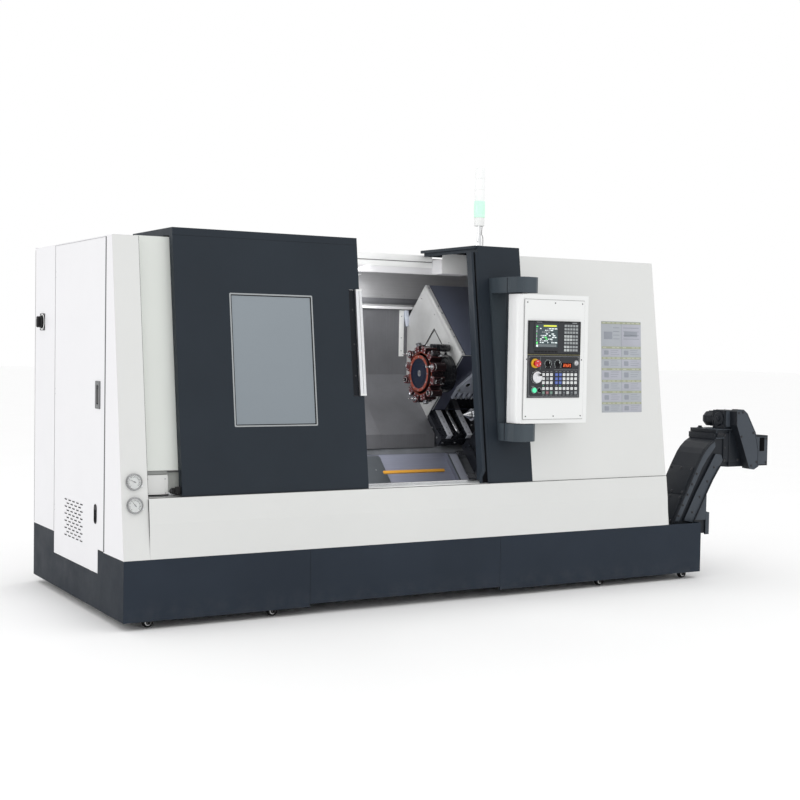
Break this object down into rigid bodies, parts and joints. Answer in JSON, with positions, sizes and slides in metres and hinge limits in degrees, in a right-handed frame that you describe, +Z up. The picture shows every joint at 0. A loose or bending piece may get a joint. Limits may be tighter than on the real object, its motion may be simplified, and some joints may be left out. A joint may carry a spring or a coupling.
{
  "type": "cnc turning lathe",
  "caption": "Slant-bed turning lathe with sliding front door, swinging control box, tool turret, tailstock and a chip conveyor at the right.",
  "frame": {"origin": "on the floor, under the middle of the whole machine's box", "axes": "+X along the spindle axis from the headstock to the chip conveyor, +Y from the operator's side to the back, +Z up"},
  "size_m": [4.288, 1.6828, 2.38],
  "materials": {
    "cast_grey": "machined and painted casting",
    "cast_dark": "dark painted casting",
    "foot_steel": "machined steel",
    "rail_steel": "ground steel",
    "plinth_paint": "dark slate paint, satin",
    "slate_paint": "dark slate paint, satin",
    "white_paint": "white paint, satin",
    "conveyor_paint": "dark grey paint, satin",
    "caster_steel": "black coated steel",
    "caster_rubber": "black rubber",
    "stainless": "brushed stainless sheet",
    "chrome_rim": "polished",
    "tower_plastic": "translucent lamp segments",
    "window_pane": "tinted pane",
    "handle_aluminium": "satin anodised",
    "black_plastic": "moulded",
    "disc_blue": "dark blue machined face",
    "holder_red": "red coated steel",
    "red_plastic": "moulded",
    "green_plastic": "moulded, lit"
  },
  "bodies": {
    "machine": {"bed_casting": "cast_grey", "leveling_feet": "foot_steel", "coolant_tank": "plinth_paint", "caster_forks": "caster_steel", "left_column_cover": "white_paint", "headstock_cover": "white_paint", "lower_front_cover": "white_paint", "right_cover": "white_paint", "rear_cover": "white_paint", "roof_cover": "white_paint", "door_post": "slate_paint", "door_tracks": "foot_steel", "splash_guard": "stainless", "chip_chute": "stainless", "headstock_casting": "cast_grey", "spindle_cartridge": "foot_steel", "guide_rails": "rail_steel", "way_covers_fixed": "stainless", "control_arm": "slate_paint", "pressure_gauges": "chrome_rim", "signal_tower": "tower_plastic", "conveyor_frame": "conveyor_paint", "conveyor_gearmotor": "conveyor_paint", "conveyor_chain_guard": "conveyor_paint"},
    "door": {"door_panel": "slate_paint", "door_window": "window_pane", "door_handle": "handle_aluminium"},
    "side_door": {"side_door": "white_paint"},
    "main_switch": {"main_switch_knob": "black_plastic"},
    "spindle": {"spindle_shaft": "rail_steel", "chuck_body": "rail_steel"},
    "jaw_1": {"chuck_jaw_1": "rail_steel"},
    "jaw_2": {"chuck_jaw_2": "rail_steel"},
    "jaw_3": {"chuck_jaw_3": "rail_steel"},
    "carriage": {"carriage_saddle": "cast_dark", "carriage_cover": "stainless", "way_covers_carriage": "stainless"},
    "middle_cover": {"way_cover_middle": "stainless"},
    "cross_slide": {"turret_slide": "cast_dark", "cross_slide_cover": "slate_paint"},
    "turret": {"turret_disc": "disc_blue", "tool_holders": "holder_red"},
    "tailstock": {"tailstock_body": "cast_dark"},
    "quill": {"tailstock_quill": "rail_steel"},
    "centre": {"live_centre": "rail_steel"},
    "control": {"control_box": "white_paint", "display_unit": "black_plastic", "operator_panel": "black_plastic"},
    "estop": {"estop_button": "red_plastic"},
    "start": {"start_button": "green_plastic"},
    "feed_knob": {"feed_override_knob": "black_plastic"},
    "speed_knob": {"spindle_override_knob": "black_plastic"},
    "mode_knob": {"mode_switch": "black_plastic"},
    "key_lock": {"key_switch": "handle_aluminium"},
    "hand_wheel": {"handwheel": "handle_aluminium"},
    "wheels_1": {"tank_wheels_1": "caster_rubber"},
    "wheels_2": {"tank_wheels_2": "caster_rubber"},
    "wheels_3": {"tank_wheels_3": "caster_rubber"},
    "wheels_4": {"tank_wheels_4": "caster_rubber"},
    "conveyor_drive": {"conveyor_shaft": "foot_steel"}
  },
  "joints": [
    {"name": "door_slide", "type": "slide", "parent": "machine", "child": "door", "axis": [1, 0, 0], "range_m": [-0.1, 0.69]},
    {"name": "side_door_hinge", "type": "hinge", "parent": "machine", "child": "side_door", "pos_m": [-2.087, 0.43045, 1.1], "axis": [0, 0, 1], "range_deg": [-100, 0]},
    {"name": "main_switch_turn", "type": "hinge", "parent": "machine", "child": "main_switch", "pos_m": [-2.114, 0.68545, 1.476], "axis": [1, 0, 0], "range_deg": [0, 90]},
    {"name": "spindle_turn", "type": "hinge", "parent": "machine", "child": "spindle", "pos_m": [-1.196, -0.21455, 0.98], "axis": [1, 0, 0], "continuous": true},
    {"name": "jaw_1_slide", "type": "slide", "parent": "spindle", "child": "jaw_1", "axis": [0, 0, 1], "range_m": [-0.004, 0.004]},
    {"name": "jaw_2_slide", "type": "slide", "parent": "spindle", "child": "jaw_2", "axis": [0, -0.866, -0.5], "range_m": [-0.004, 0.004]},
    {"name": "jaw_3_slide", "type": "slide", "parent": "spindle", "child": "jaw_3", "axis": [0, 0.866, -0.5], "range_m": [-0.004, 0.004]},
    {"name": "carriage_slide", "type": "slide", "parent": "machine", "child": "carriage", "axis": [1, 0, 0], "range_m": [-0.65, 0.05]},
    {"name": "middle_cover_slide", "type": "slide", "parent": "machine", "child": "middle_cover", "axis": [1, 0, 0], "range_m": [-0.325, 0.025]},
    {"name": "cross_slide_travel", "type": "slide", "parent": "carriage", "child": "cross_slide", "axis": [0, -0.7071, -0.7071], "range_m": [-0.15, 0.16]},
    {"name": "turret_index", "type": "hinge", "parent": "cross_slide", "child": "turret", "pos_m": [-0.006, 0.02055, 1.2151], "axis": [1, 0, 0], "continuous": true},
    {"name": "tailstock_slide", "type": "slide", "parent": "machine", "child": "tailstock", "axis": [1, 0, 0], "range_m": [-0.05, 0.4]},
    {"name": "quill_slide", "type": "slide", "parent": "tailstock", "child": "quill", "axis": [1, 0, 0], "range_m": [-0.1, 0]},
    {"name": "live_centre_turn", "type": "hinge", "parent": "quill", "child": "centre", "pos_m": [0.174, -0.21455, 0.98], "axis": [1, 0, 0], "continuous": true},
    {"name": "control_swing", "type": "hinge", "parent": "machine", "child": "control", "pos_m": [0.166, -0.74455, 1.3], "axis": [0, 0, 1], "range_deg": [-75, 0]},
    {"name": "estop_press", "type": "slide", "parent": "control", "child": "estop", "axis": [0, 1, 0], "range_m": [0, 0.006], "stiffness_N_per_m": 1500},
    {"name": "start_press", "type": "slide", "parent": "control", "child": "start", "axis": [0, 1, 0], "range_m": [0, 0.004], "stiffness_N_per_m": 600},
    {"name": "feed_override_turn", "type": "hinge", "parent": "control", "child": "feed_knob", "pos_m": [0.288, -0.80955, 1.2905], "axis": [0, 1, 0], "range_deg": [-135, 135]},
    {"name": "spindle_override_turn", "type": "hinge", "parent": "control", "child": "speed_knob", "pos_m": [0.3548, -0.80955, 1.291], "axis": [0, 1, 0], "range_deg": [-135, 135]},
    {"name": "mode_switch_turn", "type": "hinge", "parent": "control", "child": "mode_knob", "pos_m": [0.2326, -0.80955, 1.1455], "axis": [0, 1, 0], "range_deg": [-45, 45]},
    {"name": "key_turn", "type": "hinge", "parent": "control", "child": "key_lock", "pos_m": [0.4825, -0.80955, 1.2968], "axis": [0, 1, 0], "range_deg": [0, 90]},
    {"name": "handwheel_turn", "type": "hinge", "parent": "control", "child": "hand_wheel", "pos_m": [0.2094, -0.80955, 1.2175], "axis": [0, 1, 0], "continuous": true},
    {"name": "tank_wheels_1_roll", "type": "hinge", "parent": "machine", "child": "wheels_1", "pos_m": [-1.955, -0.41455, 0.026], "axis": [0, 1, 0], "continuous": true},
    {"name": "tank_wheels_2_roll", "type": "hinge", "parent": "machine", "child": "wheels_2", "pos_m": [-1.296, -0.41455, 0.026], "axis": [0, 1, 0], "continuous": true},
    {"name": "tank_wheels_3_roll", "type": "hinge", "parent": "machine", "child": "wheels_3", "pos_m": [0.8, -0.41455, 0.026], "axis": [0, 1, 0], "continuous": true},
    {"name": "tank_wheels_4_roll", "type": "hinge", "parent": "machine", "child": "wheels_4", "pos_m": [1.434, -0.41455, 0.026], "axis": [0, 1, 0], "continuous": true},
    {"name": "conveyor_shaft_turn", "type": "hinge", "parent": "machine", "child": "conveyor_drive", "pos_m": [1.944, -0.52455, 0.78], "axis": [0, 1, 0], "continuous": true}
  ],
  "couplings": [
    {"joint": "jaw_2_slide", "follows": "jaw_1_slide", "ratio": 1},
    {"joint": "jaw_3_slide", "follows": "jaw_1_slide", "ratio": 1},
    {"joint": "middle_cover_slide", "follows": "carriage_slide", "ratio": 0.5}
  ]
}
